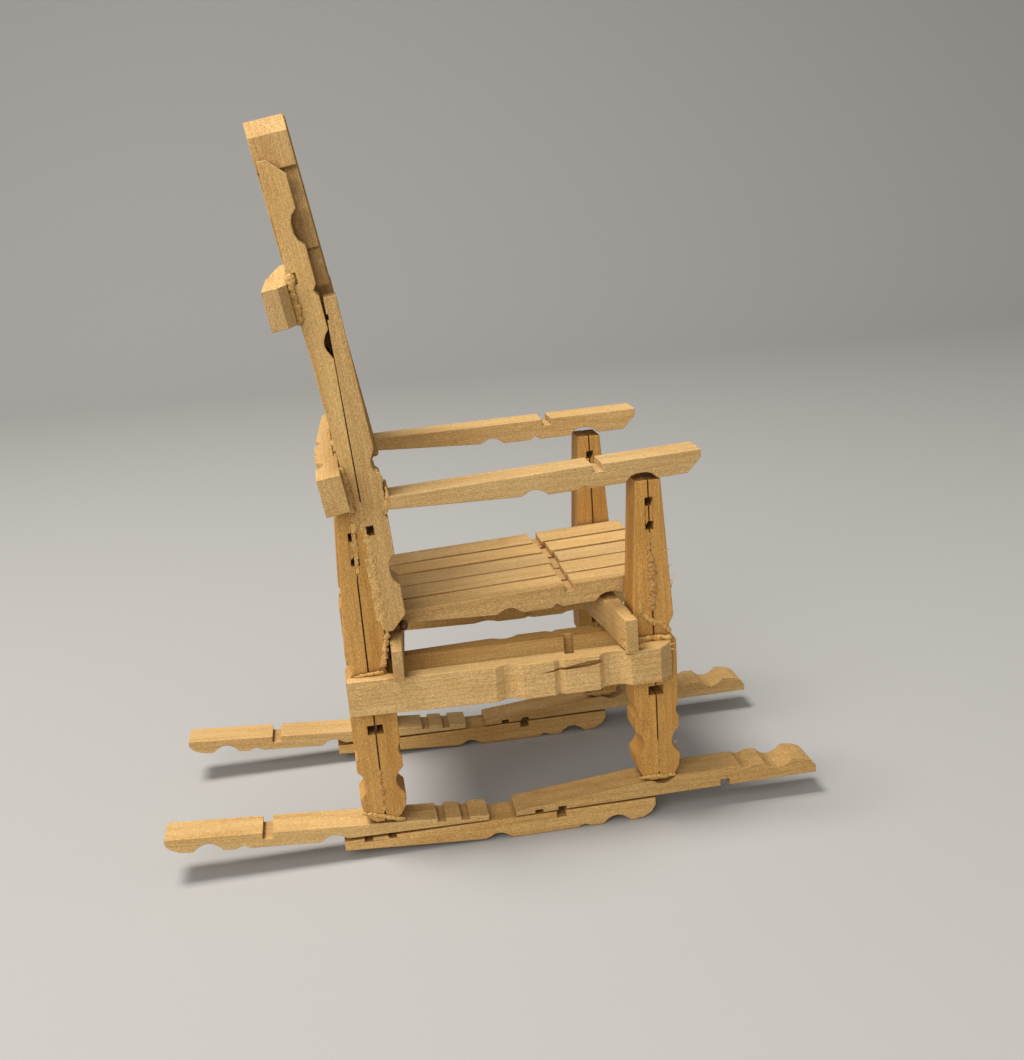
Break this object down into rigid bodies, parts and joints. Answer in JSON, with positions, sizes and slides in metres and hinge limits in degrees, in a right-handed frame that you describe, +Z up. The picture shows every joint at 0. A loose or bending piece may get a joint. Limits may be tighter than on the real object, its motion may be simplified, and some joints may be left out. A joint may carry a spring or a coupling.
{
  "type": "miniature rocking chair",
  "caption": "Dolls' house rocking chair glued from wooden clothespin halves: slatted seat and back, two flat arms, doubled legs and stepped runners.",
  "frame": {"origin": "on the floor plane, in the middle of the chair's length and width", "axes": "+Z up, the sitter faces -Y, +X at the sitter's left hand, runners along Y"},
  "size_m": [0.0829, 0.172, 0.1849],
  "materials": {
    "pale_wood": "bare sawn softwood, pale tan, matt, with fine straight grain",
    "warm_wood": "bare sawn softwood, warmer honey tan, matt, with fine straight grain",
    "dried_glue": "dried amber glue beads, semi-gloss; the glue pieces exist only in the visual model"
  },
  "bodies": {
    "root": {"runner_rear_r": "warm_wood", "runner_middle_r": "warm_wood", "runner_front_r": "warm_wood", "leg_front_aft_r": "warm_wood", "leg_front_fore_r": "warm_wood", "leg_rear_aft_r": "warm_wood", "leg_rear_fore_r": "warm_wood", "back_post_upper_r": "pale_wood", "back_post_lower_r": "pale_wood", "arm_r": "pale_wood", "side_rail_outer_r": "pale_wood", "side_rail_inner_r": "pale_wood", "runner_rear_l": "warm_wood", "runner_middle_l": "warm_wood", "runner_front_l": "warm_wood", "leg_front_aft_l": "warm_wood", "leg_front_fore_l": "warm_wood", "leg_rear_aft_l": "warm_wood", "leg_rear_fore_l": "warm_wood", "back_post_upper_l": "pale_wood", "back_post_lower_l": "pale_wood", "arm_l": "pale_wood", "side_rail_outer_l": "pale_wood", "side_rail_inner_l": "pale_wood", "seat_slat_1": "pale_wood", "seat_slat_2": "pale_wood", "seat_slat_3": "pale_wood", "seat_slat_4": "pale_wood", "seat_slat_5": "pale_wood", "seat_bearer_front": "pale_wood", "seat_bearer_rear": "pale_wood", "back_rail_lower": "pale_wood", "back_rail_upper": "pale_wood", "back_slat_1": "pale_wood", "back_slat_2": "pale_wood", "back_slat_3": "pale_wood", "back_slat_4": "pale_wood", "back_slat_5": "pale_wood", "back_slat_6": "pale_wood", "back_slat_7": "pale_wood", "back_slat_8": "pale_wood"}
  },
  "joints": []
}
